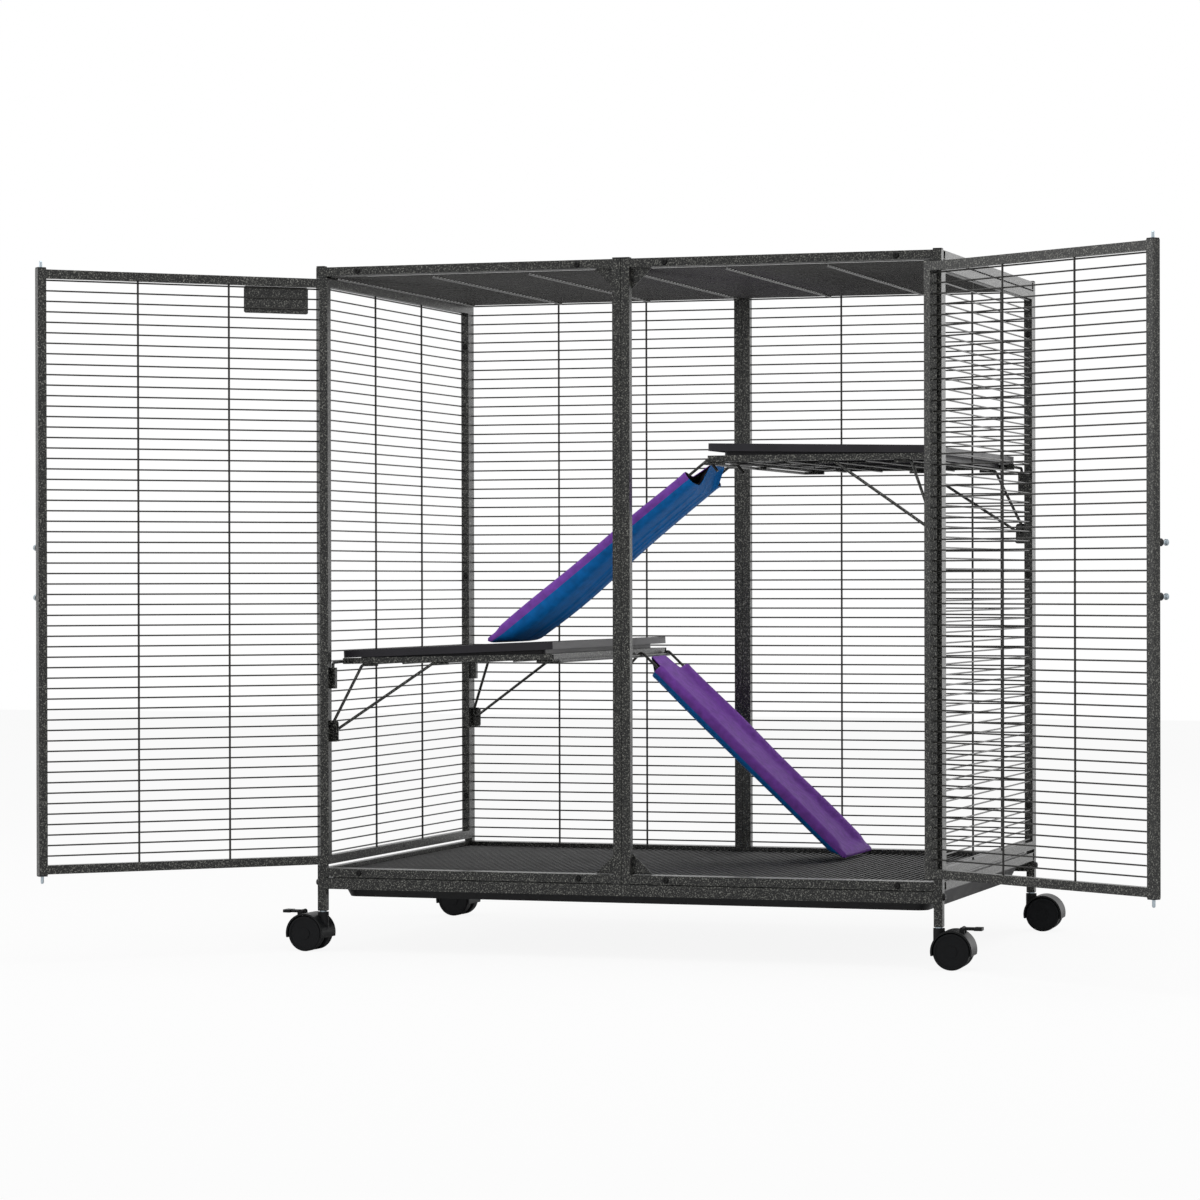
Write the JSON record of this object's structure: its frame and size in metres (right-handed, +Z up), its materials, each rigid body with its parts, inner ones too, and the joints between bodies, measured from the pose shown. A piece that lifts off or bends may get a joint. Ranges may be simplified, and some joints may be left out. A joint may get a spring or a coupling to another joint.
{
  "type": "ferret cage",
  "caption": "Tall wire cage on four casters: two hinged doors with spring latches, slide-out tray, two shelves on brackets and two hanging fabric ramps.",
  "frame": {"origin": "on the floor under the middle of the cabinet, doors and casters left out", "axes": "+X to the right as seen from the front, +Y to the rear, +Z up"},
  "size_m": [1.5679, 0.9553, 0.9794],
  "materials": {
    "frame_paint": "dark charcoal hammered powder coat, satin",
    "wire_paint": "thin dark powder coat on welded wire",
    "zinc": "bright zinc plate",
    "black_screw": "black oxide on steel, dull",
    "cap_plastic": "black moulded nylon",
    "tray_plastic": "black moulded sheet plastic, fine grain",
    "pan_plastic": "black moulded sheet plastic, low sheen",
    "ramp_fabric": "woven nylon, purple above and blue below",
    "caster_plastic": "black moulded nylon",
    "wheel_plastic": "black moulded wheel, dull"
  },
  "bodies": {
    "cabinet": {"front_frame_left": "frame_paint", "front_frame_right": "frame_paint", "rear_frame_left": "frame_paint", "rear_frame_right": "frame_paint", "side_frame_left": "frame_paint", "side_frame_right": "frame_paint", "roof_frame": "frame_paint", "floor_frame": "frame_paint", "rear_grille_left": "wire_paint", "rear_grille_right": "wire_paint", "side_grille_left": "wire_paint", "side_grille_right": "wire_paint", "roof_grille": "wire_paint", "floor_grille": "wire_paint", "lower_rails": "frame_paint", "rail_plugs": "zinc", "frame_screws": "black_screw", "leg_bolts": "black_screw", "side_screws": "black_screw", "tube_caps": "cap_plastic", "leg_sockets": "cap_plastic", "hinge_pins": "zinc", "shelf_brackets": "frame_paint", "shelf_frame_left": "frame_paint", "shelf_frame_right": "frame_paint", "shelf_pan_left": "pan_plastic", "shelf_pan_right": "pan_plastic", "caster_stems": "zinc"},
    "tray": {"tray": "tray_plastic"},
    "door_left": {"door_frame_left": "frame_paint", "door_grille_left": "wire_paint", "door_caps_left": "cap_plastic", "label_plate": "frame_paint"},
    "door_right": {"door_frame_right": "frame_paint", "door_grille_right": "wire_paint", "door_caps_right": "cap_plastic"},
    "latch_upper_left": {"latch_upper_left": "zinc"},
    "latch_lower_left": {"latch_lower_left": "zinc"},
    "latch_upper_right": {"latch_upper_right": "zinc"},
    "latch_lower_right": {"latch_lower_right": "zinc"},
    "ramp_lower": {"ramp_frame_lower": "wire_paint", "ramp_cover_lower": "ramp_fabric"},
    "ramp_upper": {"ramp_frame_upper": "wire_paint", "ramp_cover_upper": "ramp_fabric"},
    "caster_front_left": {"hood_front_left": "caster_plastic"},
    "wheels_front_left": {"wheels_front_left": "wheel_plastic"},
    "caster_front_right": {"hood_front_right": "caster_plastic"},
    "wheels_front_right": {"wheels_front_right": "wheel_plastic"},
    "caster_rear_left": {"hood_rear_left": "caster_plastic"},
    "wheels_rear_left": {"wheels_rear_left": "wheel_plastic"},
    "caster_rear_right": {"hood_rear_right": "caster_plastic"},
    "wheels_rear_right": {"wheels_rear_right": "wheel_plastic"},
    "brake_left": {"brake_left": "caster_plastic"},
    "brake_right": {"brake_right": "caster_plastic"}
  },
  "joints": [
    {"name": "tray_slide", "type": "slide", "parent": "cabinet", "child": "tray", "axis": [1, 0, 0], "range_m": [0, 0.85]},
    {"name": "door_left_hinge", "type": "hinge", "parent": "cabinet", "child": "door_left", "pos_m": [-0.444, -0.3144, 0.55], "axis": [0, 0, 1], "range_deg": [-59, 135.8]},
    {"name": "door_right_hinge", "type": "hinge", "parent": "cabinet", "child": "door_right", "pos_m": [0.444, -0.3144, 0.55], "axis": [0, 0, 1], "range_deg": [-145.8, 49]},
    {"name": "latch_upper_left_slide", "type": "slide", "parent": "door_left", "child": "latch_upper_left", "axis": [0, 0, 1], "range_m": [-0.014, 0], "stiffness_N_per_m": 300, "springref_m": 0.012},
    {"name": "latch_lower_left_slide", "type": "slide", "parent": "door_left", "child": "latch_lower_left", "axis": [0, 0, 1], "range_m": [0, 0.014], "stiffness_N_per_m": 300, "springref_m": -0.012},
    {"name": "latch_upper_right_slide", "type": "slide", "parent": "door_right", "child": "latch_upper_right", "axis": [0, 0, 1], "range_m": [-0.014, 0], "stiffness_N_per_m": 300, "springref_m": 0.012},
    {"name": "latch_lower_right_slide", "type": "slide", "parent": "door_right", "child": "latch_lower_right", "axis": [0, 0, 1], "range_m": [0, 0.014], "stiffness_N_per_m": 300, "springref_m": -0.012},
    {"name": "ramp_lower_lift", "type": "hinge", "parent": "cabinet", "child": "ramp_lower", "pos_m": [-0.10734, 0.1886, 0.41508], "axis": [0, -1, 0], "range_deg": [0, 14]},
    {"name": "ramp_upper_lift", "type": "hinge", "parent": "cabinet", "child": "ramp_upper", "pos_m": [0.1073, -0.1794, 0.6923], "axis": [0, 1, 0], "range_deg": [0, 14]},
    {"name": "caster_front_left_swivel", "type": "hinge", "parent": "cabinet", "child": "caster_front_left", "pos_m": [-0.4511, -0.3053, 0.05], "axis": [0, 0, 1], "continuous": true},
    {"name": "wheels_front_left_axle", "type": "hinge", "parent": "caster_front_left", "child": "wheels_front_left", "pos_m": [-0.47107, -0.30425, 0.0254], "axis": [-0.0523, -0.9986, 0], "continuous": true},
    {"name": "brake_left_pedal", "type": "hinge", "parent": "caster_front_left", "child": "brake_left", "pos_m": [-0.48406, -0.30357, 0.0549], "axis": [-0.0523, -0.9986, 0], "range_deg": [-12, 0]},
    {"name": "caster_front_right_swivel", "type": "hinge", "parent": "cabinet", "child": "caster_front_right", "pos_m": [0.4511, -0.3053, 0.05], "axis": [0, 0, 1], "continuous": true},
    {"name": "wheels_front_right_axle", "type": "hinge", "parent": "caster_front_right", "child": "wheels_front_right", "pos_m": [0.47107, -0.30425, 0.0254], "axis": [-0.0523, 0.9986, 0], "continuous": true},
    {"name": "brake_right_pedal", "type": "hinge", "parent": "caster_front_right", "child": "brake_right", "pos_m": [0.48406, -0.30357, 0.0549], "axis": [-0.0523, 0.9986, 0], "range_deg": [-12, 0]},
    {"name": "caster_rear_left_swivel", "type": "hinge", "parent": "cabinet", "child": "caster_rear_left", "pos_m": [-0.4511, 0.3053, 0.05], "axis": [0, 0, 1], "continuous": true},
    {"name": "wheels_rear_left_axle", "type": "hinge", "parent": "caster_rear_left", "child": "wheels_rear_left", "pos_m": [-0.47107, 0.30635, 0.0254], "axis": [-0.0523, -0.9986, 0], "continuous": true},
    {"name": "caster_rear_right_swivel", "type": "hinge", "parent": "cabinet", "child": "caster_rear_right", "pos_m": [0.4511, 0.3053, 0.05], "axis": [0, 0, 1], "continuous": true},
    {"name": "wheels_rear_right_axle", "type": "hinge", "parent": "caster_rear_right", "child": "wheels_rear_right", "pos_m": [0.47107, 0.30635, 0.0254], "axis": [-0.0523, 0.9986, 0], "continuous": true}
  ]
}
